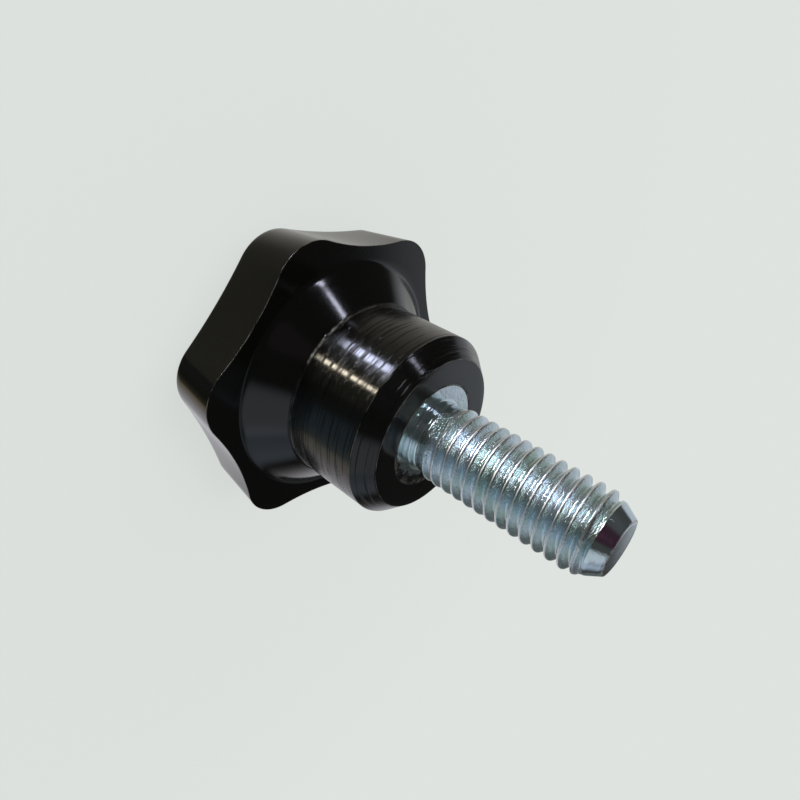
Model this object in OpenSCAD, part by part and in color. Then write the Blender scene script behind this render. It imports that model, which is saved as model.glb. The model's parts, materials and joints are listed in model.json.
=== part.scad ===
// Star knob with a moulded-in threaded stud.
// Units are millimetres. The origin is the centre of the hub's seat face, where the stud leaves
// the knob: +Z runs out along the stud, and the lobed head lies below the seat face.

/* [Head] */
// Number of lobes round the head
lobes = 6; // [5:1:8]
// Distance from the axis to the tip of a lobe, on the hub side
lobe_tip_r = 20.65; // [19.6:0.05:23]
// The same distance at the grip face, towards which the head's sides lean in
grip_tip_r = 19.6; // [19:0.05:23]
// Radius of the rounded tip of a lobe
lobe_round_r = 5.8; // [4.5:0.1:6.5]
// Hollow of the flank between two lobes, below the straight line that touches both
flank_hollow = 0.71; // [0.3:0.01:1.5]
// The same hollow at the grip face
grip_hollow = 0.3; // [0.1:0.01:1.5]
// Thickness of the lobed head
head_h = 8.2; // [6:0.1:12]
// Angle that the first lobe is turned from +X
lobe_turn = 13.5; // [0:0.5:60]
// Rounding of the lobe tips at the grip face
head_edge_r = 0.4; // [0.3:0.1:4]

/* [Hub] */
// Diameter of the turned hub
hub_d = 23.8; // [20:0.1:26]
// Length of the hub from the seat face to the start of the cone
hub_l = 12.4; // [8:0.1:20]
// Chamfer round the seat face, across the face
hub_chamfer_w = 2.0; // [0.5:0.1:2.5]
// Chamfer round the seat face, along the hub
hub_chamfer_l = 2.15; // [0.5:0.05:4]
// Flat left on the head between the foot of the cone and the middle of a flank
cone_rim_w = 1.95; // [0.5:0.05:2.4]
// Height of the cone between the head and the hub
cone_h = 4.07; // [2:0.01:8]

/* [Stud] */
// Major diameter over the thread crests, an M10 thread
thread_d = 9.85; // [9.5:0.05:10]
// Thread pitch
thread_pitch = 1.5; // [1.25:0.25:1.75]
// Diameter of the plain neck between the seat face and the thread
neck_d = 9.0; // [8.4:0.05:9.2]
// Length of the plain neck
neck_l = 2.05; // [2.05:0.05:4]
// Length of the stud past the seat face
stud_l = 24.2; // [16:0.1:40]
// Width of the full-diameter land at each end of the thread
land_w = 0.5; // [0.4:0.1:1.2]
// Height of the lands above the thread crests
land_rise = 0.02; // [0.01:0.01:0.05]
// Length of the chamfer at the tip
tip_chamfer_l = 3.2; // [1:0.1:4]
// Diameter of the flat end face at the tip
tip_d = 6.9; // [6:0.1:8]

/* [Anchor] */
// Diameter of the round collar that shows flush in the seat face
collar_d = 13.25; // [11:0.05:14.5]
// Depth of the collar below the seat face
collar_l = 4; // [2:0.5:5]
// Diameter of the waist that locks the stud against pulling out
waist_d = 9.0; // [8:0.1:9.2]
// Length of the waist
waist_l = 2.5; // [1:0.5:3.5]
// Width across the flats of the hexagon that stops the stud turning
hex_af = 12; // [11:0.5:14]
// Height of the hexagon
hex_h = 6; // [3:0.5:7]

/* [Hidden] */
$fn = 96;

half_step = 180 / lobes;
flank_mid_r = outline_r(half_step, lobe_tip_r, flank_hollow);
cone_foot_r = flank_mid_r - cone_rim_w;
head_top_z = -hub_l - cone_h;
grip_z = head_top_z - head_h;
over = 1;

// Thread: the basic 60 degree profile, cut into the rod between two full-diameter lands.
crest_r = thread_d / 2 - land_rise;
crest_w = thread_pitch / 8;
root_w = thread_pitch / 4;
flank_w = (thread_pitch - crest_w - root_w) / 2;
thread_depth = flank_w / tan(30);
land_slope_l = (thread_d - neck_d) / 2;
cut_from = neck_l + land_slope_l + land_w;
cut_to = stud_l - tip_chamfer_l - land_w;
runout_l = thread_pitch / 2;
thread_steps = 40;
line_offsets = [0, flank_w, flank_w + crest_w, 2 * flank_w + crest_w];
line_depths = [1, 0, 0, 1];
line_from = -len(line_offsets) * 2;
line_to = len(line_offsets) * ceil((cut_to - cut_from) / thread_pitch + 1);
hex_d = hex_af / cos(30);

// Head outline: each lobe tip is an arc, and each flank is a larger arc that touches the lobes on both
// sides. This is its distance from the axis at an angle from the middle of a lobe.
function outline_r(angle, tip_r, hollow) =
    let (lobe_c = tip_r - lobe_round_r,
        reach = lobe_c * cos(half_step) - hollow,
        flank_c = (lobe_c * lobe_c - reach * reach) / (2 * hollow),
        flank_round_r = flank_c - reach - lobe_round_r,
        share = flank_round_r / (flank_round_r + lobe_round_r),
        touch_x = flank_c - (flank_c - lobe_c * cos(half_step)) * share,
        touch_y = lobe_c * sin(half_step) * share,
        from_lobe = abs((angle + half_step) % (2 * half_step) - half_step),
        from_flank = half_step - from_lobe)
    from_flank > atan2(touch_y, touch_x)
        ? lobe_c * cos(from_lobe) + sqrt(pow(lobe_round_r, 2) - pow(lobe_c * sin(from_lobe), 2))
        : flank_c * cos(from_flank) - sqrt(pow(flank_round_r, 2) - pow(flank_c * sin(from_flank), 2));

module leaning_sides() {
    // Skin from the outline on the hub side to the smaller one at the grip face, and a little past it.
    steps = 40 * lobes;
    past = 1 + over / head_h;
    points = [for (depth = [past, 0], i = [0 : steps - 1])
        let (a = 360 * i / steps,
            top_r = outline_r(a, lobe_tip_r, flank_hollow),
            r = top_r + depth * (outline_r(a, grip_tip_r, grip_hollow) - top_r))
        [r * cos(a), r * sin(a), head_top_z - depth * head_h]];
    sides = [for (i = [0 : steps - 1]) let (j = (i + 1) % steps)
        each [[i, steps + i, steps + j], [i, steps + j, j]]];
    polyhedron(points, concat(sides, [[for (i = [0 : steps - 1]) i], [for (i = [steps - 1 : -1 : 0]) steps + i]]));
}

module turned_envelope() {
    // Outline swept about the axis: it rounds the lobe tips at the grip face.
    tip_over_r = max(lobe_tip_r, grip_tip_r) + over;
    side_r = grip_tip_r + (lobe_tip_r - grip_tip_r) * head_edge_r / head_h;
    round_c = [side_r - head_edge_r, grip_z + head_edge_r];
    rotate_extrude($fn = 192) union() {
        polygon([[0, grip_z], [round_c[0], grip_z], round_c, [side_r, round_c[1]],
            [tip_over_r, head_top_z + over], [0, head_top_z + over]]);
        translate(round_c) intersection() {
            circle(head_edge_r);
            translate([0, -2 * head_edge_r]) square([2 * head_edge_r, 2 * head_edge_r]);
        }
    }
}

module anchor() {
    translate([0, 0, -collar_l]) cylinder(d = collar_d, h = collar_l);
    translate([0, 0, -collar_l - waist_l]) cylinder(d = waist_d, h = waist_l);
    translate([0, 0, -collar_l - waist_l - hex_h]) cylinder(d = hex_d, h = hex_h, $fn = 6);
}

module knob_body() {
    hub_r = hub_d / 2;
    color("#1d1c1b") difference() {
        union() {
            intersection() {
                rotate(lobe_turn) leaning_sides();
                turned_envelope();
            }
            rotate_extrude($fn = 192) polygon([[0, head_top_z - over], [cone_foot_r, head_top_z - over],
                [cone_foot_r, head_top_z], [hub_r, -hub_l], [hub_r, -hub_chamfer_l],
                [hub_r - hub_chamfer_w, 0], [0, 0]]);
        }
        anchor();
    }
}

// One helical line of the thread: point i of line j, held between the two lands.
function line_point(i, j) =
    let (turn = floor(j / 4), kind = j - 4 * turn,
        z_free = cut_from + thread_pitch * (turn + i / thread_steps) + line_offsets[kind],
        z = min(max(z_free, cut_from), cut_to),
        depth = line_depths[kind] * thread_depth * min(1, (z - cut_from) / runout_l, (cut_to - z) / runout_l),
        a = 360 * i / thread_steps)
    [(crest_r - depth) * cos(a), (crest_r - depth) * sin(a), z];

module thread_cut_rod() {
    // The rod between the lands: a skin over the helical lines, closed by a flat fan at each end.
    lines = line_to - line_from + 1;
    wrap = len(line_offsets);
    points = [for (i = [0 : thread_steps - 1], j = [line_from : line_to]) line_point(i, j)];
    function at(i, j) = i < thread_steps ? i * lines + j : at(i - thread_steps, j + wrap);
    function flat(t) = points[t[0]] == points[t[1]] || points[t[1]] == points[t[2]] || points[t[2]] == points[t[0]];
    skin = [for (i = [0 : thread_steps - 1], j = [0 : lines - 2 - wrap])
        each [[at(i, j), at(i, j + 1), at(i + 1, j + 1)], [at(i, j), at(i + 1, j + 1), at(i + 1, j)]]];
    bottom = len(points);
    top = bottom + 1;
    caps = [for (i = [0 : thread_steps - 1])
        each [[bottom, at(i, 0), at((i + 1) % thread_steps, 0)],
            [top, at((i + 1) % thread_steps, lines - 1), at(i, lines - 1)]]];
    polyhedron(concat(points, [[0, 0, cut_from], [0, 0, cut_to]]),
        concat([for (t = skin) if (!flat(t)) t], caps));
}

module threaded_stud() {
    color("#b9c6cc") {
        anchor();
        cylinder(d = neck_d, h = neck_l);
        translate([0, 0, neck_l]) cylinder(d1 = neck_d, d2 = thread_d, h = land_slope_l);
        translate([0, 0, neck_l + land_slope_l]) cylinder(d = thread_d, h = land_w);
        thread_cut_rod();
        translate([0, 0, cut_to]) cylinder(d = thread_d, h = land_w);
        translate([0, 0, stud_l - tip_chamfer_l]) cylinder(d1 = thread_d, d2 = tip_d, h = tip_chamfer_l);
    }
}

knob_body();
threaded_stud();
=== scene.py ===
"""Dresses the star knob: a black moulded knob on a zinc-plated threaded stud, standing on a pale floor.

Lengths are in metres, in the frame of the CAD model: the origin is the centre of the hub's seat face
and +Z runs out along the stud. MM turns a size written in millimetres into metres.
"""

import json
import math
from collections import namedtuple

import bpy
from bpy.props import FloatProperty, FloatVectorProperty, IntProperty, PointerProperty
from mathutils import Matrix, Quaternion, Vector, noise


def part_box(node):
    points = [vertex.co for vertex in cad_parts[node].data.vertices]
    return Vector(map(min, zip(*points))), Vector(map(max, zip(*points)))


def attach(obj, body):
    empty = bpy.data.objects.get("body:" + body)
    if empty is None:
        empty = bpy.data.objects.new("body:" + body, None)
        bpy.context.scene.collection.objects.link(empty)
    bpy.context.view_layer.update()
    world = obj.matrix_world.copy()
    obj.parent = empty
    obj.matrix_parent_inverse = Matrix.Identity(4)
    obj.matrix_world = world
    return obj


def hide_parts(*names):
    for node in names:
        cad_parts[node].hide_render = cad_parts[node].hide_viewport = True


bl_info = {
    "name": "Star Knob",
    "version": (1, 0, 0),
    "blender": (4, 5, 0),
    "location": "3D View > Sidebar > Star Knob",
    "description": "Builds a star knob with a threaded stud around its CAD frame",
    "category": "Add Mesh",
}

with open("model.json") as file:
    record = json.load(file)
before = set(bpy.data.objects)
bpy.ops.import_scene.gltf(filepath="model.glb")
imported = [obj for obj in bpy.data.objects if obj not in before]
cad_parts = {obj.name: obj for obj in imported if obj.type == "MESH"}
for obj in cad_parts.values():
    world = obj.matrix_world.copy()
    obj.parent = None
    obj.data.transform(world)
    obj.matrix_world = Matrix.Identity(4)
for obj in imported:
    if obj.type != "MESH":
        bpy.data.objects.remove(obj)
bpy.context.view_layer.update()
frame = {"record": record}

MM = 0.001
MOUNTS = {mount["name"]: mount for mount in frame["record"]["mounts"]}
GRIP_Z = MOUNTS["grip_face"]["pos_m"][2]
CREST_R = MOUNTS["stud_thread"]["dims"]["r_mm"] * MM
ANCHOR_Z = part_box("threaded_stud")[0].z
TIP_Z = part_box("threaded_stud")[1].z


def linear(hex_colour, alpha=1.0):
    """An sRGB hex colour as Blender's linear red, green, blue and alpha."""
    channels = [int(hex_colour[i : i + 2], 16) / 255 for i in (1, 3, 5)]
    return (*[c / 12.92 if c <= 0.04045 else ((c + 0.055) / 1.055) ** 2.4 for c in channels], alpha)


def length(name, description, millimetres):
    """A length that a user can change, given in millimetres."""
    return FloatProperty(
        name=name, description=description, default=millimetres * MM, min=0.0, precision=5, unit="LENGTH"
    )


def colour(name, description, hex_colour):
    """A colour that a user can change, given as sRGB hex."""
    return FloatVectorProperty(
        name=name,
        description=description,
        default=linear(hex_colour),
        size=4,
        min=0.0,
        max=1.0,
        subtype="COLOR",
    )


class KnobSizes(bpy.types.PropertyGroup):
    lobes: IntProperty(name="Lobes", description="Number of lobes round the head", default=6, min=3, max=12)
    lobe_turn: FloatProperty(
        name="Lobe turn",
        description="Angle of the first lobe from +X",
        default=math.radians(13.5),
        subtype="ANGLE",
    )
    lobe_tip_r: length("Lobe tip radius", "From the axis to the tip of a lobe", 20.65)
    lobe_round_r: length("Lobe rounding", "Radius of a lobe's rounded tip", 5.8)
    flank_hollow: length("Flank hollow", "Hollow of the flank between two lobes", 0.71)
    grip_tip_r: length("Grip tip radius", "From the axis to the tip of a lobe at the grip face", 19.6)
    grip_hollow: length("Grip hollow", "Hollow of the flank at the grip face", 0.3)
    grip_edge_r: length("Grip edge", "Rounding of the head's edge at the grip face", 0.4)
    near_edge_r: length("Near edge", "Rounding of the head's edge on the hub side", 0.05)
    cone_foot_r: length("Cone foot radius", "Radius of the cone where it meets the head", 16.0)
    cone_h: length("Cone height", "From the head to the hub", 4.07)
    hub_r: length("Hub radius", "Radius of the turned hub", 11.9)
    hub_l: length("Hub length", "From the seat face to the cone", 12.4)
    chamfer_w: length("Chamfer width", "Chamfer round the seat face, across the face", 2.0)
    chamfer_l: length("Chamfer length", "Chamfer round the seat face, along the hub", 2.15)
    lip_h: length("Lip height", "Lip that the turning tool left between cone and hub", 0.13)
    mark_spacing: length("Mark spacing", "Distance between turning marks on the hub", 0.3)
    mark_depth: length("Mark depth", "Depth of the turning marks", 0.006)
    flash_l: length("Flash length", "How far the moulding flash creeps over the stud's collar", 1.5)
    flash_h: length("Flash thickness", "Thickness of the moulding flash", 0.05)
    plastic: colour("Plastic", "Colour of the moulded plastic", "#070706")
    # The rubbed colour is wear on the edges, and also a painted highlight on the lip between cone and hub.
    rubbed_and_highlight: colour("Rubbed edge and lip highlight", "Colour of the plastic where its edges are rubbed, also painted on the lip as a highlight", "#a29e92")


class StudSizes(bpy.types.PropertyGroup):
    pitch: length("Pitch", "Distance from one thread crest to the next", 1.5)
    depth: length("Thread depth", "From crest to root", 0.86)
    crest_w: length("Crest width", "Width of the crest before it rounds off", 0.14)
    root_w: length("Root width", "Width of the root before it rounds off", 0.14)
    seam_w: length("Seam width", "Half width of the seam that rolling leaves on the crest", 0.09)
    crest_z: length("Crest place", "Height of a crest's middle over +X, from the seat face", 0.553)
    neck_r: length("Neck radius", "Radius of the plain neck", 4.5)
    neck_l: length("Neck length", "From the seat face to the thread", 2.05)
    collar_r: length("Collar radius", "Radius of the collar flush in the seat face", 6.625)
    collar_l: length("Collar depth", "Depth of the collar below the seat face", 4.0)
    waist_r: length("Waist radius", "Radius of the hidden waist", 4.5)
    waist_l: length("Waist length", "Length of the hidden waist", 2.5)
    hexagon_af: length("Hexagon", "Width across the flats of the hidden hexagon", 12.0)
    chamfer_l: length("Tip chamfer", "Length of the chamfer at the tip", 3.2)
    tip_r: length("Tip radius", "Radius of the end face at the tip", 3.3)
    roughness: length("Rolling roughness", "Height of the ragged metal on the first thread", 0.09)
    zinc: colour("Zinc", "Colour of the zinc plate", "#dfeaf1")
    zinc_green: colour("Green passivation", "Green cast of the passivated zinc", "#cfdfdc")
    # A painted reflection of a dark plum object, laid on the side of the tip's chamfer that faces the camera.
    painted_plum_reflection: colour("Painted plum reflection", "Plum reflection painted on one side of the tip's chamfer", "#b48ca8")
    seam: colour("Crest seam", "Colour of the rough seam along the thread's crest", "#f0e2df")


class StageSizes(bpy.types.PropertyGroup):
    floor_r: length("Floor radius", "Radius of the studio floor", 700.0)
    backdrop: colour("Backdrop", "Colour of the floor and the backdrop", "#dee3df")
    lens: FloatProperty(name="Lens", description="Focal length on a 36 mm wide sensor", default=27.16)
    roll: FloatProperty(
        name="Roll",
        description="Turn of the camera about its line of sight",
        default=math.radians(122.05),
        subtype="ANGLE",
    )


# ---------------------------------------------------------------- nodes

# The kinds of node that the trees use most.
MATH, VECTOR_MATH, MAP_RANGE = "ShaderNodeMath", "ShaderNodeVectorMath", "ShaderNodeMapRange"
MIX, NOISE = "ShaderNodeMix", "ShaderNodeTexNoise"


def add(tree, kind, inputs=(), **settings):
    """Adds a node. Inputs are plain values, or sockets or nodes to link from. Settings are its properties."""
    made = tree.nodes.new(kind)
    for key, value in settings.items():
        setattr(made, key, value)
    for key, value in dict(inputs).items():
        if isinstance(value, bpy.types.Node):
            value = next(socket for socket in value.outputs if socket.enabled)
        if isinstance(value, bpy.types.NodeSocket):
            tree.links.new(value, made.inputs[key])
        else:
            made.inputs[key].default_value = value
    return made


def geometry_tree(name, sizes):
    """A geometry tree with a mesh socket in and out, and one named input for each size."""
    tree = bpy.data.node_groups.new(name, "GeometryNodeTree")
    tree.interface.new_socket("Geometry", in_out="INPUT", socket_type="NodeSocketGeometry")
    tree.interface.new_socket("Geometry", in_out="OUTPUT", socket_type="NodeSocketGeometry")
    for key in sizes:
        tree.interface.new_socket(key, in_out="INPUT", socket_type="NodeSocketFloat")
    tree.interface.new_socket("Material", in_out="INPUT", socket_type="NodeSocketMaterial")
    return tree


def finish_tree(tree, given, shape):
    """Ends a geometry tree: instances are made real, and the given material is set on all of the shape."""
    whole = add(tree, "GeometryNodeRealizeInstances", {0: shape})
    finished = add(tree, "GeometryNodeSetMaterial", {"Geometry": whole, "Material": given["Material"]})
    add(tree, "NodeGroupOutput", {0: finished})


def bake_tree(piece, tree, values):
    """Runs the tree on the piece and keeps the result as its plain mesh."""
    modifier = piece.modifiers.new(tree.name, "NODES")
    modifier.node_group = tree
    for item in tree.interface.items_tree:
        if item.name in values:
            modifier[item.identifier] = values[item.name]
    depsgraph = bpy.context.evaluated_depsgraph_get()
    evaluated = piece.evaluated_get(depsgraph)
    mesh = bpy.data.meshes.new_from_object(evaluated, preserve_all_data_layers=True, depsgraph=depsgraph)
    piece.modifiers.clear()
    piece.data = mesh


# ---------------------------------------------------------------- meshes

# One ring of a turned skin. Its radius and worn are numbers or functions of the angle. turned is 1 where a
# lathe tool cut the surface, and worn is 1 where handling has rubbed the edges and where a highlight is
# painted on the lip between cone and hub; both take the rubbed colour.
Ring = namedtuple("Ring", "radius height turned worn", defaults=(0.0, 0.0))

# Edges sharper than this stay sharp under smooth shading.
SHARP_ANGLE = math.radians(32)

# The hollow at the cone's foot: how far it reaches out past the cone, and how high it climbs.
FOOT_HOLLOW = 0.3 * MM
FOOT_HOLLOW_H = 0.4 * MM

# Shallow step that the thread rolls leave in the neck: its height above the seat face, and its depth.
NECK_STEP_Z = 0.85 * MM
NECK_STEP_H = 0.07 * MM

# The tip's profile: shares of the chamfer's length, and of its fall from the crests to the end face.
TIP_PROFILE = (
    (0.0, 0.03),
    (0.12, 0.04),
    (0.25, 0.17),
    (0.36, 0.37),
    (0.42, 0.4),
    (0.47, 0.39),
    (0.955, 0.965),
)

# How many flats a turn has, and how many rings each pitch of the thread is cut from.
KNOB_SEGMENTS = 360
STUD_SEGMENTS = 180
RINGS_PER_PITCH = 24


def ring_skin(name, rings, segments):
    """A closed mesh through the rings, from a point on the axis to another point on the axis."""
    points, faces, turned, worn = [], [], [], []
    start = []
    for ring in rings:
        start.append(len(points))
        count = 1 if ring.radius == 0 else segments
        for i in range(count):
            angle = math.tau * i / segments
            radius = ring.radius(angle) if callable(ring.radius) else ring.radius
            points.append((radius * math.cos(angle), radius * math.sin(angle), ring.height))
            worn.append(ring.worn(angle) if callable(ring.worn) else ring.worn)
        turned += [ring.turned] * count
    for low, high, a, b in zip(rings, rings[1:], start, start[1:]):
        for i in range(segments):
            j = (i + 1) % segments
            if low.radius == 0:
                faces.append((a, b + j, b + i))
            elif high.radius == 0:
                faces.append((a + i, a + j, b))
            else:
                faces.append((a + i, a + j, b + j, b + i))
    mesh = bpy.data.meshes.new(name)
    mesh.from_pydata(points, [], faces)
    for key, values in (("turned", turned), ("worn", worn)):
        mesh.attributes.new(key, "FLOAT", "POINT").data.foreach_set("value", values)
    mesh.shade_smooth()
    mesh.set_sharp_from_angle(angle=SHARP_ANGLE)
    piece = bpy.data.objects.new(name, mesh)
    bpy.context.scene.collection.objects.link(piece)
    return piece


def spread(start, end, count):
    """Evenly spaced numbers from start to end, both included."""
    return [start + (end - start) * i / (count - 1) for i in range(count)]


def lobed_outline(knob, tip_r, hollow):
    """The head's outline as a function of the angle: lobe arcs joined by hollow flank arcs."""
    half_step = math.pi / knob.lobes
    lobe_c = tip_r - knob.lobe_round_r
    reach = lobe_c * math.cos(half_step) - hollow
    flank_c = (lobe_c**2 - reach**2) / (2 * hollow)
    flank_round_r = flank_c - reach - knob.lobe_round_r
    share = flank_round_r / (flank_round_r + knob.lobe_round_r)
    touch_x = flank_c - (flank_c - lobe_c * math.cos(half_step)) * share
    touch_y = lobe_c * math.sin(half_step) * share

    def radius(angle):
        from_lobe = abs((angle - knob.lobe_turn + half_step) % (2 * half_step) - half_step)
        from_flank = half_step - from_lobe
        if from_flank > math.atan2(touch_y, touch_x):
            across = lobe_c * math.sin(from_lobe)
            return lobe_c * math.cos(from_lobe) + math.sqrt(knob.lobe_round_r**2 - across**2)
        across = flank_c * math.sin(from_flank)
        return flank_c * math.cos(from_flank) - math.sqrt(flank_round_r**2 - across**2)

    return radius


def hexagon_outline(across_flats):
    """The outline of a hexagon with a corner over +X, as a function of the angle."""
    step = math.pi / 3
    return lambda angle: across_flats / 2 / math.cos(angle % step - step / 2)


def smooth(value, start, end):
    """Rises smoothly from 0 at start to 1 at end."""
    share = min(1.0, max(0.0, (value - start) / (end - start)))
    return share * share * (3 - 2 * share)


def flash_outline(knob, stud):
    """The ragged inner edge of the moulding flash that lies over part of the stud's collar."""
    bare_r = stud.collar_r - 0.03 * MM
    least_r = stud.neck_r + 0.1 * MM
    nick_depth = 0.06 * MM
    jag_scale = 7.0

    def radius(angle):
        degrees = math.degrees(angle)
        window = smooth(degrees, 10, 34) * (1 - smooth(degrees, 150, 200))
        growth = 0.25 + 0.75 * smooth(degrees, 25, 90)
        place = Vector((math.cos(angle), math.sin(angle), 0)) * jag_scale
        jag = abs(noise.noise(place)) + 0.5 * abs(noise.noise(place * 3.1))
        reach = knob.flash_l * window * growth * (0.45 + 1.3 * jag)
        nick = abs(nick_depth * noise.noise(place * 4))
        return max(least_r, bare_r - reach - nick)

    return radius


# ---------------------------------------------------------------- knob


def head_top(knob):
    """The height of the head's near face, where the cone starts."""
    return -knob.hub_l - knob.cone_h


def cone_slope(knob):
    """How far the cone widens for each metre that it drops."""
    return (knob.cone_foot_r - knob.hub_r) / knob.cone_h


def head_rings(knob):
    """The lobed head, from the middle of the grip face round its side and in to the cone."""
    hub_side = lobed_outline(knob, knob.lobe_tip_r, knob.flank_hollow)
    grip_side = lobed_outline(knob, knob.grip_tip_r, knob.grip_hollow)
    head_z = head_top(knob)

    def side(height, cut=0.0, share=1.0, foot=0.0):
        """The outline at a height, moved in by a cut, and then towards a foot radius by a share."""
        depth = (head_z - height) / (head_z - GRIP_Z)
        return lambda angle: foot + share * (
            hub_side(angle) * (1 - depth) + grip_side(angle) * depth - cut - foot
        )

    # Grip face, out to its rounded rim, and the side.
    rings = [Ring(0, GRIP_Z)]
    rings += [Ring(side(GRIP_Z, 0, share), GRIP_Z) for share in (0.25, 0.5, 0.7, 0.84)]
    for turn in spread(0, 90, 7):
        cut = knob.grip_edge_r * (1 - math.sin(math.radians(turn)))
        height = GRIP_Z + knob.grip_edge_r * (1 - math.cos(math.radians(turn)))
        rings.append(Ring(side(height, cut), height))
    rings += [Ring(side(z), z) for z in spread(GRIP_Z + 1.2 * MM, head_z - 2 * knob.near_edge_r, 8)]
    # Near edge, rubbed by handling, then the flat near face.
    for turn in spread(0, 90, 6):
        height = head_z - knob.near_edge_r * (1 - math.sin(math.radians(turn)))
        cut = knob.near_edge_r * (1 - math.cos(math.radians(turn)))
        rings.append(Ring(side(height, cut), height, 0, 0.3))
    rings.append(Ring(side(head_z, 1.6 * knob.near_edge_r), head_z))
    foot = knob.cone_foot_r + FOOT_HOLLOW
    rings += [Ring(side(head_z, 0, share, foot), head_z) for share in (0.7, 0.4, 0.15)]
    rings.append(Ring(foot, head_z))
    return rings


def cone_rings(knob):
    """The cone, with a small hollow at its foot."""
    head_z, slope = head_top(knob), cone_slope(knob)
    rings = []
    for share in (0.05, 0.2, 0.5, 1.0):
        rise = FOOT_HOLLOW_H * share
        hollow = FOOT_HOLLOW * (1 - share) ** 2 * 0.5
        rings.append(Ring(knob.cone_foot_r - rise * slope + hollow, head_z + rise))
    for z in spread(head_z + 0.9 * MM, -knob.hub_l - 0.3 * MM, 9):
        rings.append(Ring(knob.cone_foot_r - (z - head_z) * slope, z))
    return rings


def lip_rings(knob):
    """The lip between cone and hub: torn and raised over an eighth of its round, with one burr on it. A
    highlight is painted along it with the rubbed colour, brightest at the burr.
    """
    # In degrees back from +X: where the burr stands, and how wide it is.
    burr_at, burr_w = -31, 2.5

    def round_place(angle, scale):
        """A place on a circle, where a noise of that scale has no seam."""
        return Vector((math.cos(angle), math.sin(angle), 3.0)) * scale

    def torn(angle):
        """How far the lip is torn at an angle: 0 where it is whole, and most at the burr."""
        degrees = math.degrees(angle) - 360
        window = smooth(degrees, -56, -44) * (1 - smooth(degrees, -22, -10))
        burr = math.exp(-(((degrees - burr_at) / burr_w) ** 2))
        return max(0.0, window * (0.5 + noise.noise(round_place(angle, 22)))) + burr

    def lip(height):
        """The lip's radius as a function of the angle, at a share of its full height."""

        def radius(angle):
            wander = 0.3 + 0.4 * noise.noise(round_place(angle, 6))
            return knob.hub_r + knob.lip_h * height * (wander + 1.6 * torn(angle))

        return radius

    def rubbed_and_highlight(height):
        """How far the lip is rubbed and carries the painted highlight, as a function of the angle, at a share
        of its full height.
        """
        return lambda angle: min(1.0, height * (0.08 + 1.5 * torn(angle)))

    rings = []
    for rise, height in ((-0.2, 0.0), (-0.13, 0.7), (-0.05, 1.0), (0.04, 1.0), (0.12, 0.6), (0.19, 0.0)):
        foot_r = knob.hub_r + max(0.0, -rise) * MM * cone_slope(knob)
        radius = lip(height) if height else foot_r
        rings.append(Ring(radius, -knob.hub_l + rise * MM, 0.6, rubbed_and_highlight(height)))
    return rings


def hub_rings(knob, stud):
    """The turned hub, its chamfer and the seat face, in to the rim round the stud's collar."""
    hub_end = -knob.chamfer_l
    seat_r = knob.hub_r - knob.chamfer_w
    chamfer_slope = knob.chamfer_w / knob.chamfer_l
    edge = 0.04 * MM
    # Rings 0.09 mm apart carry the turning marks.
    rings = [Ring(knob.hub_r, z, 1) for z in spread(-knob.hub_l + 0.25 * MM, hub_end - 0.06 * MM, 112)]
    rings.append(Ring(knob.hub_r - 0.2 * edge, hub_end - 0.3 * edge, 1, 0.4))
    for z in spread(hub_end + edge, -edge, 22):
        rings.append(Ring(knob.hub_r - (z - hub_end) * chamfer_slope, z, 1))
    rings.append(Ring(seat_r - 0.4 * edge, -0.25 * edge, 1, 0.4))
    for radius in spread(seat_r - 2 * edge, stud.collar_r + 0.24 * MM, 5):
        rings.append(Ring(radius, 0, 0.5))
    return rings


def flash_rings(knob, stud):
    """The raised rim round the stud's collar, and the flash that creeps in over the collar."""
    flash = flash_outline(knob, stud)
    return [
        Ring(stud.collar_r + 0.15 * MM, 0.0, 0, 0.2),
        Ring(stud.collar_r + 0.1 * MM, knob.flash_h, 0, 0.3),
        Ring(stud.collar_r + 0.02 * MM, knob.flash_h * 1.1, 0, 0.3),
        Ring(lambda angle: min(flash(angle) + 0.02 * MM, stud.collar_r - 0.01 * MM), knob.flash_h * 0.9),
        Ring(flash, knob.flash_h * 0.6),
        Ring(flash, 0.004 * MM),
        Ring(stud.collar_r, 0.002 * MM),
    ]


def anchor_rings(stud):
    """The stud's hidden anchor, from the middle of its hexagon out to the foot of the collar."""
    hexagon = hexagon_outline(stud.hexagon_af)
    waist_z = -stud.collar_l - stud.waist_l
    return [
        Ring(0, ANCHOR_Z),
        Ring(hexagon, ANCHOR_Z),
        Ring(hexagon, waist_z),
        Ring(stud.waist_r, waist_z),
        Ring(stud.waist_r, -stud.collar_l),
        Ring(stud.collar_r, -stud.collar_l),
    ]


def knob_rings(knob, stud):
    """The knob's skin, from the middle of the grip face round the head and hub to the stud's pocket."""
    outside = head_rings(knob) + cone_rings(knob) + lip_rings(knob) + hub_rings(knob, stud)
    pocket = list(reversed(anchor_rings(stud)))
    return outside + flash_rings(knob, stud) + pocket


# ---------------------------------------------------------------- stud


def neck_rings(stud):
    """The collar's face, the fillet at the root of the neck, and the neck with the rolls' step in it."""
    fillet = 0.3 * MM
    rings = [Ring(stud.collar_r, 0)]
    for radius in spread(stud.collar_r - 0.05 * MM, stud.neck_r + 1.3 * fillet, 8):
        rings.append(Ring(radius, 0))
    for turn in spread(0, 90, 7):
        radius = stud.neck_r + fillet * (1 - math.sin(math.radians(turn)))
        rings.append(Ring(radius, fillet * (1 - math.cos(math.radians(turn)))))
    for z in spread(0.36 * MM, 1.9 * MM, 32):
        ridge = 0.05 * MM * math.exp(-(((z - NECK_STEP_Z) / (0.09 * MM)) ** 2))
        fall = NECK_STEP_H * smooth(z, NECK_STEP_Z - 0.06 * MM, NECK_STEP_Z + 0.1 * MM)
        rings.append(Ring(stud.neck_r + ridge - fall, z))
    return rings


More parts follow.
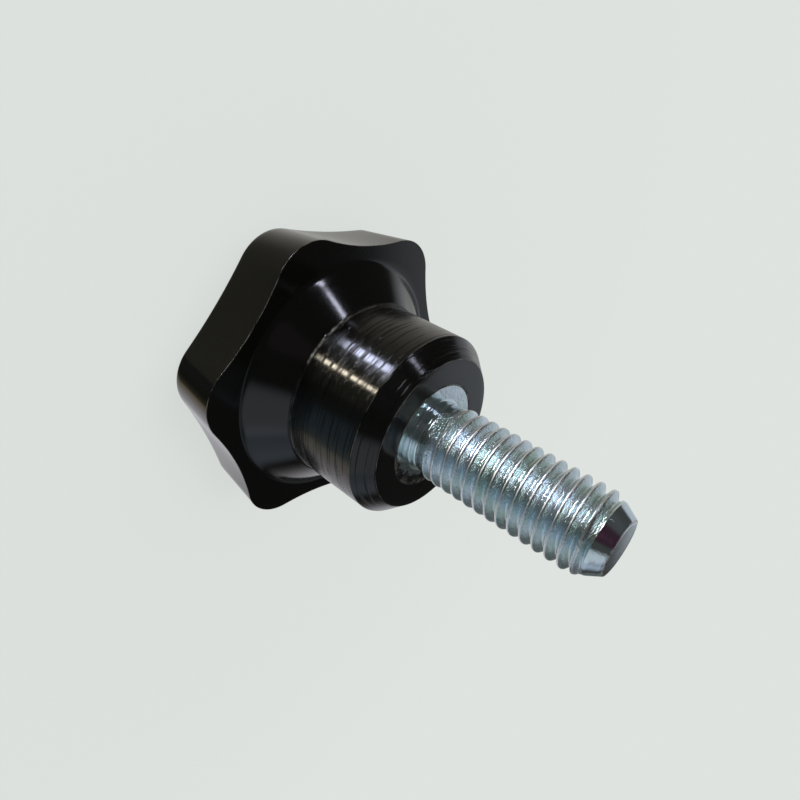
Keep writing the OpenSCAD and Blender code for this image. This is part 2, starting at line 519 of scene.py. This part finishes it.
def rod_rings(stud):
    """The rod, as thick as the crests and fine enough for the thread to be cut into it."""
    ring_step = stud.pitch / RINGS_PER_PITCH
    first = 1.95 * MM
    rings = []
    for i in range(int((TIP_Z - stud.chamfer_l - first) / ring_step) + 1):
        z = first + i * ring_step
        swell = smooth(z, first, first + 0.55 * MM) * 0.8 + smooth(z, first, first + 1.3 * MM) * 0.2
        rings.append(Ring(stud.neck_r - NECK_STEP_H + (CREST_R - stud.neck_r + NECK_STEP_H) * swell, z))
    return rings


def tip_rings(stud):
    """The tip: the last crest dies away on a step, then the chamfer runs to a slightly hollow end face."""
    chamfer_z = TIP_Z - stud.chamfer_l
    rings = []
    for (start, fall), (end, next_fall) in zip(TIP_PROFILE, TIP_PROFILE[1:]):
        for share in spread(0.0, 1.0, 9)[1:]:
            drop = fall + (next_fall - fall) * share
            radius = CREST_R + (stud.tip_r - CREST_R) * drop
            rings.append(Ring(radius, chamfer_z + stud.chamfer_l * (start + (end - start) * share)))
    bevel = 0.12 * MM
    rings += [
        Ring(stud.tip_r - 0.2 * bevel, TIP_Z - 0.35 * bevel),
        Ring(stud.tip_r - 1.6 * bevel, TIP_Z),
        Ring(stud.tip_r * 0.8, TIP_Z - 0.02 * MM),
        Ring(stud.tip_r * 0.4, TIP_Z - 0.05 * MM),
        Ring(0, TIP_Z - 0.05 * MM),
    ]
    return rings


def stud_rings(stud):
    """The stud before its thread is cut, from the hidden hexagon up to the tip."""
    return anchor_rings(stud) + neck_rings(stud) + rod_rings(stud) + tip_rings(stud)


# ---------------------------------------------------------------- thread and turning marks

# Ragged metal on the thread: the size of its grain, and the heights where it starts to fade and is least.
RAGGED_GRAIN = 0.5 * MM
RAGGED_TO = 2.6 * MM
CLEAN_FROM = 4.6 * MM

THREAD_INPUTS = (
    "Pitch",
    "Crest Radius",
    "Depth",
    "Crest Width",
    "Root Width",
    "Crest Place",
    "Seam Width",
    "Start",
    "Run In",
    "End",
    "Run Out",
    "Roughness",
    "Seed",
)


def thread_tree():
    """Cuts a right-hand thread into a rod about Z: each point moves in to where the thread's form is."""
    tree = geometry_tree("Cut thread", THREAD_INPUTS)
    given = add(tree, "NodeGroupInput").outputs
    place = add(tree, "GeometryNodeInputPosition")
    x, y, z = add(tree, "ShaderNodeSeparateXYZ", {0: place}).outputs
    # How far this point is from the nearest crest, in turns: 0 on the crest and 0.5 in the root.
    angle = add(tree, MATH, {0: y, 1: x}, operation="ARCTAN2")
    turns = add(tree, MATH, {0: angle, 1: math.tau}, operation="DIVIDE")
    climb = add(tree, MATH, {0: z, 1: given["Crest Place"]}, operation="SUBTRACT")
    pitches = add(tree, MATH, {0: climb, 1: given["Pitch"]}, operation="DIVIDE")
    helix = add(tree, MATH, {0: pitches, 1: turns}, operation="SUBTRACT")
    shifted = add(tree, MATH, {0: helix, 1: 0.5}, operation="ADD")
    wrapped = add(tree, MATH, {0: shifted}, operation="FRACT")
    centred = add(tree, MATH, {0: wrapped, 1: 0.5}, operation="SUBTRACT")
    from_crest = add(tree, MATH, {0: centred}, operation="ABSOLUTE")
    # The form of the thread, rounded at crest and root.
    crest = add(tree, MATH, {0: given["Crest Width"], 1: given["Pitch"]}, operation="DIVIDE")
    crest_to = add(tree, MATH, {0: crest, 1: 0.5}, operation="MULTIPLY")
    root = add(tree, MATH, {0: given["Root Width"], 1: given["Pitch"]}, operation="DIVIDE")
    root_half = add(tree, MATH, {0: root, 1: 0.5}, operation="MULTIPLY")
    root_from = add(tree, MATH, {0: 0.5, 1: root_half}, operation="SUBTRACT")
    form = add(
        tree,
        MAP_RANGE,
        {"Value": from_crest, "From Min": crest_to, "From Max": root_from},
        interpolation_type="SMOOTHSTEP",
    )
    # The thread fades in after the neck and out on the chamfer.
    start, end = given["Start"], given["End"]
    full_from = add(tree, MATH, {0: start, 1: given["Run In"]}, operation="ADD")
    full_to = add(tree, MATH, {0: end, 1: given["Run Out"]}, operation="SUBTRACT")
    run_in = add(tree, MAP_RANGE, {"Value": z, "From Min": start, "From Max": full_from})
    run_out = add(tree, MAP_RANGE, {"Value": z, "From Min": end, "From Max": full_to})
    both = add(tree, MATH, {0: run_in, 1: run_out}, operation="MULTIPLY")
    share = add(tree, MATH, {0: form, 1: both}, operation="MULTIPLY")
    cut = add(tree, MATH, {0: share, 1: given["Depth"]}, operation="MULTIPLY")
    # Ragged metal on the first turn, a little of it all along the crests.
    grain = add(
        tree,
        NOISE,
        {"Vector": place, "W": given["Seed"], "Scale": 1 / RAGGED_GRAIN, "Detail": 3.0},
        noise_dimensions="4D",
    )
    ragged = add(
        tree,
        MAP_RANGE,
        {"Value": z, "From Min": RAGGED_TO, "From Max": CLEAN_FROM, "To Min": 1.0, "To Max": 0.12},
    )
    grain_here = add(tree, MATH, {0: grain, 1: ragged}, operation="MULTIPLY")
    grain_cut = add(tree, MATH, {0: grain_here, 1: given["Roughness"]}, operation="MULTIPLY")
    # Each point keeps its height, and moves in to the thread's radius if it is further out.
    total = add(tree, MATH, {0: cut, 1: grain_cut}, operation="ADD")
    reach = add(tree, MATH, {0: given["Crest Radius"], 1: total}, operation="SUBTRACT")
    flat = add(tree, "ShaderNodeCombineXYZ", {0: x, 1: y})
    radius = add(tree, VECTOR_MATH, {0: flat}, operation="LENGTH")
    outward = add(tree, VECTOR_MATH, {0: flat}, operation="NORMALIZE")
    kept = add(tree, MATH, {0: radius, 1: reach}, operation="MINIMUM")
    moved = add(tree, VECTOR_MATH, {0: outward, "Scale": kept}, operation="SCALE")
    upright = add(tree, "ShaderNodeCombineXYZ", {2: z})
    target = add(tree, VECTOR_MATH, {0: moved, 1: upright}, operation="ADD")
    threaded = add(tree, MATH, {0: z, 1: start}, operation="GREATER_THAN")
    shaped = add(
        tree,
        "GeometryNodeSetPosition",
        {"Geometry": given["Geometry"], "Selection": threaded, "Position": target},
    )
    # The seam that rolling leaves along every crest is kept as an attribute for the plate.
    seam_to = add(tree, MATH, {0: given["Seam Width"], 1: given["Pitch"]}, operation="DIVIDE")
    seam = add(
        tree,
        MAP_RANGE,
        {"Value": from_crest, "From Min": 0.0, "From Max": seam_to, "To Min": 1.0, "To Max": 0.0},
    )
    seam_here = add(tree, MATH, {0: seam, 1: both}, operation="MULTIPLY")
    seam_kept = add(tree, MATH, {0: seam_here, 1: threaded}, operation="MULTIPLY")
    marked = add(
        tree,
        "GeometryNodeStoreNamedAttribute",
        {"Geometry": shaped, "Name": "seam", "Value": seam_kept},
        data_type="FLOAT",
        domain="POINT",
    )
    finish_tree(tree, given, marked)
    return tree


def turning_tree():
    """Scores fine rings round the turned faces, as a lathe tool leaves them."""
    tree = geometry_tree("Turning marks", ("Spacing", "Depth", "Seed"))
    given = add(tree, "NodeGroupInput").outputs
    place = add(tree, "GeometryNodeInputPosition")
    x, y, z = add(tree, "ShaderNodeSeparateXYZ", {0: place}).outputs
    steps = add(tree, MATH, {0: z, 1: given["Spacing"]}, operation="DIVIDE")
    along = add(tree, "ShaderNodeCombineXYZ", {0: steps, 1: given["Seed"]})
    line = add(tree, NOISE, {"Vector": along, "Scale": 1.0, "Detail": 4.0}, noise_dimensions="2D")
    centred = add(tree, MATH, {0: line, 1: 0.5}, operation="SUBTRACT")
    turned = add(tree, "GeometryNodeInputNamedAttribute", {"Name": "turned"}, data_type="FLOAT")
    only = add(tree, MATH, {0: turned, 1: 0.9}, operation="GREATER_THAN")
    height = add(tree, MATH, {0: centred, 1: given["Depth"]}, operation="MULTIPLY")
    flat = add(tree, "ShaderNodeCombineXYZ", {0: x, 1: y})
    outward = add(tree, VECTOR_MATH, {0: flat}, operation="NORMALIZE")
    offset = add(tree, VECTOR_MATH, {0: outward, "Scale": height}, operation="SCALE")
    shaped = add(
        tree,
        "GeometryNodeSetPosition",
        {"Geometry": given["Geometry"], "Selection": only, "Offset": offset},
    )
    finish_tree(tree, given, shaped)
    return tree


# ---------------------------------------------------------------- materials


def new_material(name):
    """An empty node material and its output node."""
    material = bpy.data.materials.new(name)
    material.use_nodes = True
    material.node_tree.nodes.clear()
    return material, material.node_tree, add(material.node_tree, "ShaderNodeOutputMaterial")


def moulded_phenolic(knob):
    """Black phenolic, pressed hot in a polished mould: a satin skin, with tool marks where it is turned."""
    material, tree, out = new_material("moulded phenolic")
    place = add(tree, "ShaderNodeTexCoord").outputs["Object"]
    turned = add(tree, "ShaderNodeAttribute", attribute_name="turned").outputs["Fac"]
    worn = add(tree, "ShaderNodeAttribute", attribute_name="worn").outputs["Fac"]
    # Rubbed edges, and the highlight painted on the lip between cone and hub, take a light colour broken into
    # dashes about 1 mm long.
    dashes = add(
        tree, NOISE, {"Vector": place, "Scale": 1 / (1.6 * MM), "Detail": 4.0, "Roughness": 0.7}
    )
    dash = add(tree, MAP_RANGE, {"Value": dashes, "From Min": 0.4, "From Max": 0.66})
    rubbed_and_highlight = add(tree, MATH, {0: dash, 1: worn}, operation="MULTIPLY")
    base = add(tree, MIX, {"Factor": rubbed_and_highlight, "A": knob.plastic, "B": knob.rubbed_and_highlight}, data_type="RGBA")
    # Moulded skin: a faint orange peel about 0.4 mm across.
    peel = add(tree, NOISE, {"Vector": place, "Scale": 1 / (0.4 * MM), "Detail": 3.0, "Roughness": 0.6})
    peel_low = add(tree, MATH, {0: peel, 1: 0.12}, operation="MULTIPLY")
    # Turned skin: narrow grooves round the axis, 0.2 to 0.4 mm apart along it, of uneven depth.
    along = add(tree, "ShaderNodeMapping", {"Vector": place, "Scale": (0.02, 0.02, 1.0)})
    lines = add(
        tree, NOISE, {"Vector": along, "Scale": 1 / (0.26 * MM), "Detail": 2.0, "Roughness": 0.7}
    )
    grooves = add(
        tree,
        MAP_RANGE,
        {"Value": lines, "From Min": 0.36, "From Max": 0.46},
        interpolation_type="SMOOTHSTEP",
    )
    relief = add(tree, MIX, {"Factor": turned, "A": peel_low, "B": grooves}, data_type="FLOAT")
    bump = add(tree, "ShaderNodeBump", {"Height": relief, "Strength": 1.0, "Distance": 0.018 * MM})
    # Almost no gloss comes back out of a groove.
    shade = add(tree, MAP_RANGE, {"Value": grooves, "To Min": 0.2, "To Max": 0.52})
    specular = add(tree, MIX, {"Factor": turned, "A": 0.5, "B": shade}, data_type="FLOAT")
    # The skin is glossiest as moulded, duller where it is turned, and dull where it is rubbed.
    moulded = add(
        tree,
        MAP_RANGE,
        {"Value": peel, "From Min": 0.3, "From Max": 0.7, "To Min": 0.09, "To Max": 0.14},
    )
    tooled = add(tree, MIX, {"Factor": turned, "A": moulded, "B": 0.17}, data_type="FLOAT")
    rough = add(tree, MIX, {"Factor": worn, "A": tooled, "B": 0.6}, data_type="FLOAT")
    # The tool's lines spread gloss along the axis, far more than round it.
    axial = add(tree, "ShaderNodeTangent", direction_type="RADIAL", axis="Z")
    stretch = add(tree, MATH, {0: turned, 1: 0.85}, operation="MULTIPLY")
    shader = add(
        tree,
        "ShaderNodeBsdfPrincipled",
        {
            "Base Color": base,
            "Roughness": rough,
            "IOR": 1.5,
            "Normal": bump,
            "Specular IOR Level": specular,
            "Anisotropic": stretch,
            "Anisotropic Rotation": 0.25,
            "Tangent": axial,
        },
    )
    tree.links.new(shader.outputs[0], out.inputs["Surface"])
    return material


# Where a finish of the zinc, and the painted plum reflection, lie along the stud: the heights in metres that
# each changes between, and its share before and after.
FINISH_HEIGHTS = {
    "rolled": (1.2 * MM, 2.4 * MM, 0.18, 1.0),
    "before tip": (22.2 * MM, 22.6 * MM, 1.0, 0.16),
    "torn from": (1.3 * MM, 1.9 * MM, 0.0, 1.0),
    "torn to": (4.2 * MM, 3.2 * MM, 0.0, 1.0),
    "plum_reflection": (22.3 * MM, 22.6 * MM, 0.0, 1.0),
    "rim": (TIP_Z - 0.12 * MM, TIP_Z - 0.08 * MM, 0.0, 1.0),
}

# Where a finish, and the painted plum reflection, lie round the stud: its azimuth in degrees, and the cosines
# of the angles from there at which it starts and is full.
FINISH_SIDES = {"torn": (-34, 0.9, 0.975), "plum_reflection": (-22, 0.965, 0.985)}


def zinc_plate(stud):
    """Bright zinc plate with blue passivation over rolled steel: mirror-like, streaked round the thread."""
    material, tree, out = new_material("zinc plate")
    place = add(tree, "ShaderNodeTexCoord").outputs["Object"]
    x, y, z = add(tree, "ShaderNodeSeparateXYZ", {0: place}).outputs
    flat = add(tree, "ShaderNodeCombineXYZ", {0: x, 1: y})
    outward = add(tree, VECTOR_MATH, {0: flat}, operation="NORMALIZE")
    reach = add(tree, VECTOR_MATH, {0: flat}, operation="LENGTH")
    at_height, on_side = {}, {}
    for name, (start, end, before, after) in FINISH_HEIGHTS.items():
        change = {"Value": z, "From Min": start, "From Max": end, "To Min": before, "To Max": after}
        at_height[name] = add(tree, MAP_RANGE, change)
    for name, (azimuth, start, full) in FINISH_SIDES.items():
        facing = add(tree, VECTOR_MATH, {0: outward, 1: direction(azimuth, 0)}, operation="DOT_PRODUCT")
        on_side[name] = add(tree, MAP_RANGE, {"Value": facing, "From Min": start, "From Max": full})
    # Rolling streaks 0.2 mm wide along the axis and 0.6 mm long round it, over pits 0.3 mm across.
    along = add(tree, "ShaderNodeMapping", {"Vector": place, "Scale": (0.35, 0.35, 1.0)})
    streaks = add(
        tree, NOISE, {"Vector": along, "Scale": 1 / (0.22 * MM), "Detail": 3.0, "Roughness": 0.7}
    )
    pits = add(
        tree, NOISE, {"Vector": place, "Scale": 1 / (0.32 * MM), "Detail": 3.0, "Roughness": 0.65}
    )
    relief = add(tree, MIX, {"Factor": 0.45, "A": streaks, "B": pits}, data_type="FLOAT")
    # The collar, the neck and the tip are smoother than the rolled thread.
    rolled = add(tree, MATH, {0: at_height["rolled"], 1: at_height["before tip"]}, operation="MULTIPLY")
    bump = add(tree, "ShaderNodeBump", {"Height": relief, "Strength": rolled, "Distance": 0.15 * MM})
    # The first turn of the thread is torn on one side, where the rolls bit first.
    torn_turn = add(
        tree, MATH, {0: at_height["torn from"], 1: at_height["torn to"]}, operation="MULTIPLY"
    )
    torn = add(tree, MATH, {0: torn_turn, 1: on_side["torn"]}, operation="MULTIPLY")
    scratches = add(
        tree, NOISE, {"Vector": along, "Scale": 1 / (0.5 * MM), "Detail": 4.0, "Roughness": 0.8}
    )
    bump = add(
        tree,
        "ShaderNodeBump",
        {"Height": scratches, "Strength": torn, "Distance": 0.9 * MM, "Normal": bump},
    )
    # The rim of the end face is ragged and bright where the bar was cut.
    rim_from, rim_full = stud.tip_r - 0.26 * MM, stud.tip_r - 0.18 * MM
    rim_out = add(tree, MAP_RANGE, {"Value": reach, "From Min": rim_from, "From Max": rim_full})
    ragged = add(tree, MAP_RANGE, {"Value": pits, "From Min": 0.42, "From Max": 0.5})
    rim_here = add(tree, MATH, {0: rim_out, 1: at_height["rim"]}, operation="MULTIPLY")
    rim = add(tree, MATH, {0: rim_here, 1: ragged}, operation="MULTIPLY")
    seam = add(tree, "ShaderNodeAttribute", attribute_name="seam").outputs["Fac"]
    bare = add(tree, MATH, {0: seam, 1: rim}, operation="MAXIMUM")
    # Green cast of the passivation, in clouds about 4 mm across, and a painted plum reflection on one side of
    # the chamfer.
    clouds = add(tree, NOISE, {"Vector": place, "Scale": 1 / (4 * MM), "Detail": 2.0})
    green = add(tree, MAP_RANGE, {"Value": clouds, "From Min": 0.42, "From Max": 0.62})
    plum_reflection_part = add(tree, MATH, {0: on_side["plum_reflection"], 1: at_height["plum_reflection"]}, operation="MULTIPLY")
    plum_reflection = add(tree, MATH, {0: plum_reflection_part, 1: rim_out}, operation="MULTIPLY")
    base = stud.zinc
    for cover, shade in ((green, stud.zinc_green), (bare, stud.seam), (plum_reflection, stud.painted_plum_reflection)):
        base = add(tree, MIX, {"Factor": cover, "A": base, "B": shade}, data_type="RGBA")
    # The plate has a bright face and a haze of fine crystals under it, and is dull where it is bare.
    bright = add(
        tree,
        MAP_RANGE,
        {"Value": pits, "From Min": 0.3, "From Max": 0.7, "To Min": 0.04, "To Max": 0.1},
    )
    rough = add(tree, MIX, {"Factor": bare, "A": bright, "B": 0.5}, data_type="FLOAT")
    face, haze = (
        add(
            tree,
            "ShaderNodeBsdfPrincipled",
            {"Base Color": base, "Roughness": roughness, "Normal": bump, "Metallic": 1.0},
        )
        for roughness in (rough, 0.42)
    )
    plate = add(tree, "ShaderNodeMixShader", {0: 0.1, 1: face, 2: haze})
    tree.links.new(plate.outputs[0], out.inputs["Surface"])
    return material


# ---------------------------------------------------------------- stage

# What stands round the studio, as gloss sees it near and below the horizon: azimuth from +X in degrees,
# and tone.
SURROUNDINGS = (
    (-180, "#b6b7b5"),
    (-140, "#d0cec8"),
    (-100, "#aba69b"),
    (-70, "#76746a"),
    (-2, "#66655a"),
    (4, "#3f4142"),
    (28, "#3c3e3c"),
    (51, "#2c2d2a"),
    (56, "#4e4a3a"),
    (66, "#5a523e"),
    (73, "#c2b79c"),
    (95, "#dedadc"),
    (135, "#d8d8de"),
    (180, "#b6b7b5"),
)

# Soft bright areas that gloss sees: azimuth, elevation, half width and soft edge in degrees, and radiance
# in red, green and blue.
SOFT_AREAS = (
    (190, 15, 23, 6, (0.46, 0.5, 0.55)),
    (88, 16, 6, 18, (0.36, 0.42, 0.5)),
    (54, 30, 13, 13, (0.5, 0.54, 0.6)),
    (50, -12, 26, 12, (0.12, 0.2, 0.26)),
    (106, 56, 13, 12, (0.22, 0.3, 0.35)),
    (-22, 37, 12, 4, (0.07, 0.04, 0.065)),
    (137, 16, 7, 10, (0.1, 0.12, 0.12)),
)

# Lamps: azimuth and elevation in degrees, distance, width and height in metres, radiance, colour.
Lamp = namedtuple("Lamp", "name azimuth elevation distance width height radiance tint")
HIGHLIGHT_LAMPS = (
    Lamp("cone_lamp", -84, 35, 0.35, 0.02, 0.05, 20.0, "#e6e8ff"),
    Lamp("blue_band_lamp", -53, -38, 0.1, 0.013, 0.03, 27.0, "#dce2ff"),
    Lamp("warm_band_lamp", -25, -38, 0.1, 0.006, 0.03, 27.0, "#fff3dc"),
    Lamp("stud_lamp", -44, -12, 0.1, 0.014, 0.024, 50.0, "#f4f8ff"),
)
KEY_LAMP = Lamp("key_lamp", -100, 62, 0.6, 0.45, 0.45, 2.6, "#ffffff")

# Strength of the even light all round, and the tone of the ceiling that gloss sees overhead.
AMBIENT = 0.55
CEILING = 0.035

# How much of the object's shadow the camera sees on the floor, and the distances in metres from the axis
# between which it fades out.
SHADOW_SHARE = 0.16
SHADOW_NEAR = 0.04
SHADOW_FAR = 0.16

# Where the camera stands and what it looks at, in millimetres, and how far its picture is shifted.
CAMERA_PLACE = (61.749, -19.041, 33.534)
CAMERA_AIM = (11.643, -2.235, 0)
PICTURE_SHIFT = (0.0223, 0.0233)


def direction(azimuth, elevation):
    """The unit vector at an azimuth from +X and an elevation above the floor, in degrees."""
    a, e = math.radians(azimuth), math.radians(elevation)
    return Vector((math.cos(e) * math.cos(a), math.cos(e) * math.sin(a), math.sin(e)))


def surroundings_tone(tree, vector):
    """The tone of the surroundings in the direction of a vector, by its azimuth alone."""
    x, y, _ = add(tree, "ShaderNodeSeparateXYZ", {0: vector}).outputs
    angle = add(tree, MATH, {0: y, 1: x}, operation="ARCTAN2")
    share = add(tree, MAP_RANGE, {"Value": angle, "From Min": -math.pi, "From Max": math.pi})
    ramp = add(tree, "ShaderNodeValToRGB", {0: share})
    stops = ramp.color_ramp.elements
    while len(stops) < len(SURROUNDINGS):
        stops.new(0.5)
    for stop, (azimuth, tone) in zip(stops, SURROUNDINGS):
        stop.position = (azimuth + 180) / 360
        stop.color = linear(tone)
    return ramp


def floor_material(stage):
    """Pale card: the camera sees the backdrop's colour with the object's shadow on it."""
    material, tree, out = new_material("pale card")
    path = add(tree, "ShaderNodeLightPath").outputs
    place = add(tree, "ShaderNodeTexCoord").outputs["Object"]
    card = add(tree, "ShaderNodeBsdfDiffuse", {"Color": stage.backdrop})
    plain = add(tree, "ShaderNodeEmission", {"Color": stage.backdrop})
    away = add(tree, VECTOR_MATH, {0: place}, operation="LENGTH")
    fade = {"From Min": SHADOW_NEAR, "From Max": SHADOW_FAR, "To Min": SHADOW_SHARE, "To Max": 0.0}
    near = add(tree, MAP_RANGE, {"Value": away, **fade}, interpolation_type="SMOOTHSTEP")
    seen = add(tree, "ShaderNodeMixShader", {0: near, 1: plain, 2: card})
    surface = add(tree, "ShaderNodeMixShader", {0: path["Is Camera Ray"], 1: card, 2: seen})
    tree.links.new(surface.outputs[0], out.inputs["Surface"])
    return material


def world_light(stage):
    """Even light all round, with soft bright areas for gloss and the backdrop's colour for the camera."""
    world = bpy.data.worlds.new("studio")
    bpy.context.scene.world = world
    world.use_nodes = True
    tree = world.node_tree
    tree.nodes.clear()
    path = add(tree, "ShaderNodeLightPath").outputs
    vector = add(tree, "ShaderNodeTexCoord").outputs["Generated"]
    up = add(tree, "ShaderNodeSeparateXYZ", {0: vector}).outputs["Z"]
    # Near and below the horizon gloss sees the surroundings, and higher up a dim ceiling.
    low = add(
        tree,
        MAP_RANGE,
        {"Value": up, "From Min": -0.25, "From Max": 0.08, "To Min": 1.0, "To Max": 0.0},
        interpolation_type="SMOOTHSTEP",
    )
    gloss = add(
        tree,
        MIX,
        {"Factor": low, "A": (CEILING, CEILING, CEILING, 1.0), "B": surroundings_tone(tree, vector)},
        data_type="RGBA",
    )
    for azimuth, elevation, half_width, edge, radiance in SOFT_AREAS:
        toward = add(
            tree, VECTOR_MATH, {0: vector, 1: direction(azimuth, elevation)}, operation="DOT_PRODUCT"
        )
        outer, inner = (math.cos(math.radians(angle)) for angle in (half_width + edge, half_width))
        area = add(
            tree,
            MAP_RANGE,
            {"Value": toward, "From Min": outer, "From Max": inner},
            interpolation_type="SMOOTHSTEP",
        )
        gloss = add(
            tree,
            MIX,
            {"Factor": area, "A": gloss, "B": (*radiance, 1.0)},
            data_type="RGBA",
            blend_type="ADD",
            clamp_result=False,
        )
    ambient = add(tree, "ShaderNodeBackground", {"Color": (1, 1, 1, 1), "Strength": AMBIENT})
    glossy = add(tree, "ShaderNodeBackground", {"Color": gloss})
    plain = add(tree, "ShaderNodeBackground", {"Color": stage.backdrop})
    unseen = add(tree, "ShaderNodeMixShader", {0: path["Is Glossy Ray"], 1: ambient, 2: glossy})
    surface = add(tree, "ShaderNodeMixShader", {0: path["Is Camera Ray"], 1: unseen, 2: plain})
    add(tree, "ShaderNodeOutputWorld", {"Surface": surface})


def place_lamp(lamp):
    """An area lamp that looks at the origin. Its power follows from its radiance and its area."""
    data = bpy.data.lights.new(lamp.name, "AREA")
    data.shape = "RECTANGLE"
    data.size, data.size_y = lamp.width, lamp.height
    data.energy = lamp.radiance * math.pi * lamp.width * lamp.height
    data.color = linear(lamp.tint)[:3]
    holder = bpy.data.objects.new(lamp.name, data)
    bpy.context.scene.collection.objects.link(holder)
    toward = direction(lamp.azimuth, lamp.elevation)
    holder.location = toward * lamp.distance
    holder.rotation_mode = "QUATERNION"
    holder.rotation_quaternion = toward.to_track_quat("Z", "Y")
    holder.visible_camera = False
    return holder


# ---------------------------------------------------------------- operators


class STARKNOB_OT_knob(bpy.types.Operator):
    """Builds the moulded knob with its lobed head, cone, turned hub and moulding flash"""

    bl_idname = "starknob.knob"
    bl_label = "Moulded knob"

    def execute(self, context):
        knob, stud = context.scene.knob_sizes, context.scene.stud_sizes
        piece = ring_skin("moulded_knob", knob_rings(knob, stud), KNOB_SEGMENTS)
        marks = {
            "Spacing": knob.mark_spacing,
            "Depth": knob.mark_depth,
            "Seed": 3.0,
            "Material": moulded_phenolic(knob),
        }
        bake_tree(piece, turning_tree(), marks)
        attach(piece, "root")
        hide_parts("knob_body")
        return {"FINISHED"}


class STARKNOB_OT_stud(bpy.types.Operator):
    """Builds the zinc-plated stud with its collar, neck, rolled thread and chamfered tip"""

    bl_idname = "starknob.stud"
    bl_label = "Threaded stud"

    def execute(self, context):
        stud = context.scene.stud_sizes
        piece = ring_skin("zinc_stud", stud_rings(stud), STUD_SEGMENTS)
        thread = {
            "Pitch": stud.pitch,
            "Crest Radius": CREST_R,
            "Depth": stud.depth,
            "Crest Width": stud.crest_w,
            "Root Width": stud.root_w,
            "Crest Place": stud.crest_z,
            "Seam Width": stud.seam_w,
            "Start": stud.neck_l,
            "Run In": 1.2 * MM,
            "End": TIP_Z - 1.3 * MM,
            "Run Out": 0.5 * MM,
            "Roughness": stud.roughness,
            "Seed": 1.0,
            "Material": zinc_plate(stud),
        }
        bake_tree(piece, thread_tree(), thread)
        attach(piece, "root")
        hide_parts("threaded_stud")
        return {"FINISHED"}


class STARKNOB_OT_stage(bpy.types.Operator):
    """Sets the pale floor, the lamps, the world and the camera"""

    bl_idname = "starknob.stage"
    bl_label = "Stage"

    def execute(self, context):
        scene, stage = context.scene, context.scene.stage_sizes
        scene.view_settings.view_transform = "Standard"
        mesh = bpy.data.meshes.new("floor")
        rim = [direction(azimuth, 0) * stage.floor_r for azimuth in range(0, 360, 5)]
        mesh.from_pydata(rim, [], [list(range(len(rim)))])
        floor = bpy.data.objects.new("floor", mesh)
        floor.location.z = GRIP_Z
        mesh.materials.append(floor_material(stage))
        scene.collection.objects.link(floor)
        # Gloss sees past the floor, to the surroundings that the world gives below the horizon.
        floor.visible_glossy = floor.visible_shadow = False
        world_light(stage)
        place_lamp(KEY_LAMP).visible_glossy = False
        for lamp in HIGHLIGHT_LAMPS:
            place_lamp(lamp).visible_diffuse = False
        data = bpy.data.cameras.new("camera")
        data.sensor_width = 36
        data.lens = stage.lens
        data.shift_x, data.shift_y = PICTURE_SHIFT
        data.clip_start, data.clip_end = 0.005, 10
        camera = bpy.data.objects.new("camera", data)
        camera.location = Vector(CAMERA_PLACE) * MM
        sight = Vector(CAMERA_AIM) * MM - camera.location
        camera.rotation_mode = "QUATERNION"
        level = sight.to_track_quat("-Z", "Y")
        camera.rotation_quaternion = level @ Quaternion((0, 0, 1), stage.roll)
        scene.collection.objects.link(camera)
        scene.camera = camera
        return {"FINISHED"}


class STARKNOB_PT_panel(bpy.types.Panel):
    """Lists the pieces and their sizes"""

    bl_idname = "STARKNOB_PT_panel"
    bl_label = "Star Knob"
    bl_space_type = "VIEW_3D"
    bl_region_type = "UI"
    bl_category = "Star Knob"

    def draw(self, context):
        for operator, sizes in (("knob", "knob_sizes"), ("stud", "stud_sizes"), ("stage", "stage_sizes")):
            box = self.layout.box()
            box.operator(f"starknob.{operator}")
            group = getattr(context.scene, sizes)
            for key in group.bl_rna.properties.keys():
                if key not in ("rna_type", "name"):
                    box.prop(group, key)


CLASSES = (
    KnobSizes,
    StudSizes,
    StageSizes,
    STARKNOB_OT_knob,
    STARKNOB_OT_stud,
    STARKNOB_OT_stage,
    STARKNOB_PT_panel,
)


def register():
    for cls in CLASSES:
        bpy.utils.register_class(cls)
    bpy.types.Scene.knob_sizes = PointerProperty(type=KnobSizes)
    bpy.types.Scene.stud_sizes = PointerProperty(type=StudSizes)
    bpy.types.Scene.stage_sizes = PointerProperty(type=StageSizes)


def unregister():
    for key in ("knob_sizes", "stud_sizes", "stage_sizes"):
        delattr(bpy.types.Scene, key)
    for cls in reversed(CLASSES):
        bpy.utils.unregister_class(cls)


def main():
    register()
    bpy.ops.starknob.stage()
    bpy.ops.starknob.knob()
    bpy.ops.starknob.stud()


if __name__ == "__main__":
    main()
